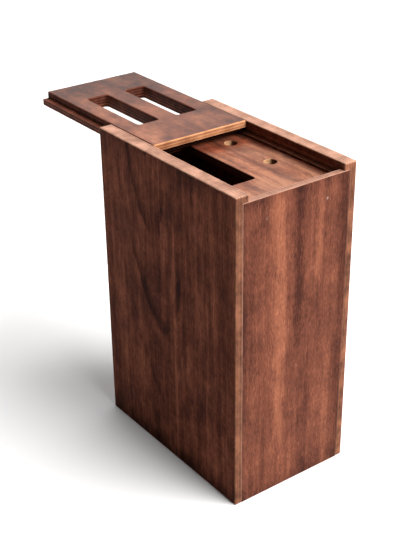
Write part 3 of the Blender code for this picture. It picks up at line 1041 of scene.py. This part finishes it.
# %% Side walls
GROOVE_BOTTOM = LID[0].z - JOINT_GAP
GROOVE_TOP = TONGUE_TOP + JOINT_GAP
TONGUE_REACH = FRONT_PANEL[1].x + JOINT_GAP


def wall_cuts(side):
    """The three rabbets and the groove of the wall on one side: -1 is left, 1 is right."""

    def on_side(inner, outer, y_low, y_high, z_low, z_high):
        low_x, high_x = sorted((side * inner, side * outer))
        return Vector((low_x, y_low, z_low)), Vector((high_x, y_high, z_high))

    inner = RIGHT_WALL[0].x - PASS
    front, back = LEFT_WALL[0].y, LEFT_WALL[1].y
    rabbets = [
        on_side(inner, TONGUE_REACH, front - PASS, FRONT_PANEL[1].y + JOINT_GAP, -PASS,
                GROOVE_TOP),
        on_side(inner, TONGUE_REACH, BACK_PANEL[0].y - JOINT_GAP, back + PASS, -PASS,
                GROOVE_BOTTOM),
        on_side(inner, TONGUE_REACH, FRONT_PANEL[1].y, BACK_PANEL[0].y, -PASS,
                BOTTOM_PANEL[1].z + JOINT_GAP),
    ]
    groove = on_side(inner, TONGUE_REACH, FRONT_PANEL[1].y, back + PASS, GROOVE_BOTTOM,
                     GROOVE_TOP)
    wood = RIGHT_GROOVE if side > 0 else LEFT_GROOVE
    groove_look = {"Arris": 0.3 * MM, "Corner": 0.2 * MM, "Edge Material": wood,
                   "Face Material": wood}
    return [(*rabbet, HIDDEN_CUT) for rabbet in rabbets] + [(*groove, groove_look)]


make_board("left_wall", "box", {**WALL_LOOK, "Seed": 10}, wall_cuts(-1),
           LEFT_EDGE, LEFT_FACE)
make_board("right_wall", "box", {**WALL_LOOK, "Seed": 11}, wall_cuts(1),
           RIGHT_EDGE, RIGHT_FACE)

# %% [markdown]
# ### The thin panels and the inner board
#
# The front, back and bottom are thin sheets of five veneers. The inner board is the same sheet,
# with a long slot and two round holes cut through it.

# %% Panels
BRAD_HEAD = 1.1 * MM             # radius, as are the next two
BRAD_SHANK = 0.7 * MM
BRAD_HOLE = BRAD_HEAD + 0.1 * MM
BRAD_HOLE_LOOK = {"Corner": BRAD_HOLE, "Corner Points": 5, "Arris": 0.1 * MM, "Nicks": 0.0,
                  "Relief": 0.0, "Wander": 0.0}
BRAD_NODES = [name for name in frame["nodes"] if "brad" in name]


def brad_cuts(panel):
    """Round holes through a panel or cleat for the brads whose heads lie on it."""
    cuts = []
    for name in BRAD_NODES:
        low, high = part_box(name)
        if low.y > panel[1].y + MM or high.y < panel[0].y - MM:
            continue
        x, _, z = (low + high) / 2
        cuts.append((Vector((x - BRAD_HOLE, panel[0].y - PASS, z - BRAD_HOLE)),
                     Vector((x + BRAD_HOLE, panel[1].y + PASS, z + BRAD_HOLE)), BRAD_HOLE_LOOK))
    return cuts


for seed, node in ((21, "front_panel"), (22, "back_panel")):
    make_board(node, "box", {**PANEL_LOOK, "Seed": seed},
               brad_cuts(corners(node)), PANEL_EDGE, PANEL_FACE)
make_board("bottom_panel", "box", {**PANEL_LOOK, "Seed": 23}, [],
           PANEL_EDGE, PANEL_FACE)

# %% The inner board, its slot and its holes
BOARD_SLOT = (31.0 * MM, 96.5 * MM)  # width and length
LID_SLOT = (21.0 * MM, 84.0 * MM)
SLOT_CORNER = 3.2 * MM
SLOT_CENTRE_X = 19.9 * MM
BOARD_SLOT_FROM_FRONT = 46.0 * MM    # measured from the front of the box
HOLE_PLACES = (65.6 * MM, 118.2 * MM)
SLOT_LOOK = {"Corner": SLOT_CORNER, "Corner Points": 6, "Nicks": 0.25 * MM}
HOLE_LOOK = {"Corner": HOLE_RADIUS, "Corner Points": 12, "Nicks": 0.2 * MM,
             "Wander": 0.05 * MM, "Edge Material": BARE_WOOD, "Face Material": BARE_WOOD}
BOX_FRONT = FRONT_PANEL[0].y


def slot_cut(centre_x, front_y, size, board):
    """A long round-cornered slot through a level board."""
    width, length = size
    low = Vector((centre_x - width / 2, front_y, board[0].z - PASS))
    high = Vector((centre_x + width / 2, front_y + length, board[1].z + PASS))
    return low, high, SLOT_LOOK


def hole_cut(x, y, board):
    low = Vector((x - HOLE_RADIUS, y - HOLE_RADIUS, board[0].z - PASS))
    high = Vector((x + HOLE_RADIUS, y + HOLE_RADIUS, board[1].z + PASS))
    return low, high, HOLE_LOOK


board_cuts = [slot_cut(-SLOT_CENTRE_X, BOX_FRONT + BOARD_SLOT_FROM_FRONT, BOARD_SLOT,
                       INNER_BOARD)]
board_cuts += [hole_cut(HOLE_X, BOX_FRONT + place, INNER_BOARD) for place in HOLE_PLACES]
make_board("inner_board", "box", {**PANEL_LOOK, "Seed": 31}, board_cuts,
           BOARD_EDGE_STAIN_AND_PAINTED_SHADE, BOARD_FACE)

# %% [markdown]
# ### The sliding lid
#
# The lid is a thick board whose lower half is wider, so that it makes a tongue on each side. Its
# upper half drops between the walls. Two slots run through it, and its front end is cut away
# underneath where it laps over the front panel.

# %% The lid
LID_SLOT_FROM_FRONT = 48.0 * MM
LID_LAP = 6.3 * MM
LID_GAP_SIDE = 0.5 * MM
LID_SHOULDER = RIGHT_WALL[0].x - LID_GAP_SIDE


def lid_cuts():
    low, high = LID
    cuts = []
    for side in (-1, 1):
        shoulder_x = sorted((side * LID_SHOULDER, side * (high.x + PASS)))
        cuts.append((Vector((shoulder_x[0], low.y - PASS, TONGUE_TOP)),
                     Vector((shoulder_x[1], high.y + PASS, high.z + PASS)),
                     {"Corner": 0.1 * MM, "Arris": 0.6 * MM}))
        cuts.append(slot_cut(side * SLOT_CENTRE_X, low.y + LID_SLOT_FROM_FRONT, LID_SLOT, LID))
    # the lap's faces carry the near-black painted shadow
    cuts.append((Vector((low.x - PASS, low.y - PASS, low.z - PASS)),
                 Vector((high.x + PASS, low.y + LID_LAP, GROOVE_TOP)),
                 {"Corner": 0.1 * MM, "Arris": 0.3 * MM, "Edge Material": LAP_PAINTED_SHADOW,
                  "Face Material": LAP_PAINTED_SHADOW}))
    return cuts


make_board("sliding_lid", "lid", {**WALL_LOOK, "Seed": 41}, lid_cuts(),
           LID_EDGE, LID_FACE)

# %% [markdown]
# ### Cleats and brads
#
# Two sticks of solid wood hold the inner board up. They come from the same block tree as
# one single veneer, so no stripes stand out. Each is pinned by two brads through the end panel. A
# brad is a turned shape: a dished head, a straight shank and a point.

# %% Cleats
CLEAT_LOOK = {"Plies": 1, "Arris": 0.6 * MM, "Corner": 0.6 * MM, "Relief": 0.0,
              "Nicks": 0.2 * MM, "Ring Spacing": 1.5 * MM}
for seed, node in ((51, "front_cleat"), (52, "back_cleat")):
    make_board(node, "box", {**CLEAT_LOOK, "Seed": seed},
               brad_cuts(corners(node)), CLEAT_WOOD, CLEAT_WOOD)

# %% Brads
# from the dished head down the ringed neck: share of the head's radius, depth in millimetres
BRAD_PROFILE = ((0.00, 0.26), (0.55, 0.22), (0.90, 0.18), (1.00, 0.26), (1.04, 0.38),
                (1.00, 0.60), (0.80, 0.78), (0.64, 1.00), (0.62, 1.60), (0.64, 1.75),
                (0.62, 1.90), (0.64, 2.05), (0.62, 2.20))
BRAD_TAPER = 2.5 * MM            # the length of the point, and of its blunt end
BRAD_BLUNT = 0.4 * MM
BRAD_TIP = 0.25 * MM
BRAD_TURNS = 24
WELD = 0.001 * MM
RUBBED_BRADS = ("front_brad_right", "back_brad_left")    # the stain has rubbed off these heads


def make_brad(node):
    """Turn one brad about its own length, head outwards, in its node's place."""
    low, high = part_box(node)
    middle = (low + high) / 2
    outward = -1.0 if middle.y < 0 else 1.0
    face_y = low.y if outward < 0 else high.y
    length = high.y - low.y
    profile = [(radius * BRAD_HEAD, depth * MM) for radius, depth in BRAD_PROFILE]
    profile += [(BRAD_SHANK, length - BRAD_TAPER), (BRAD_TIP, length - BRAD_BLUNT), (0.0, length)]
    bm = bmesh.new()
    points = [bm.verts.new((radius, 0.0, depth)) for radius, depth in profile]
    edges = [bm.edges.new(pair) for pair in zip(points, points[1:])]
    bmesh.ops.spin(bm, geom=points + edges, cent=(0, 0, 0), axis=(0, 0, 1),
                   angle=math.tau, steps=BRAD_TURNS)
    bmesh.ops.remove_doubles(bm, verts=bm.verts, dist=WELD)
    bmesh.ops.recalc_face_normals(bm, faces=bm.faces)
    mesh = bpy.data.meshes.new(node)
    bm.to_mesh(mesh)
    bm.free()
    inward = Vector((0.0, -outward, 0.0))
    turn = inward.to_track_quat("Z", "Y").to_matrix().to_4x4()
    place = Matrix.Translation((middle.x, face_y, middle.z)) @ turn
    piece = finish_mesh(node.replace("brad", "nail"), mesh, place)
    mesh.materials.append(BARE_STEEL if node in RUBBED_BRADS else STAINED_STEEL)
    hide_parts(node)
    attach(piece, "box")
    return piece


for node in BRAD_NODES:
    make_brad(node)
print(len(BRAD_NODES), "brads")
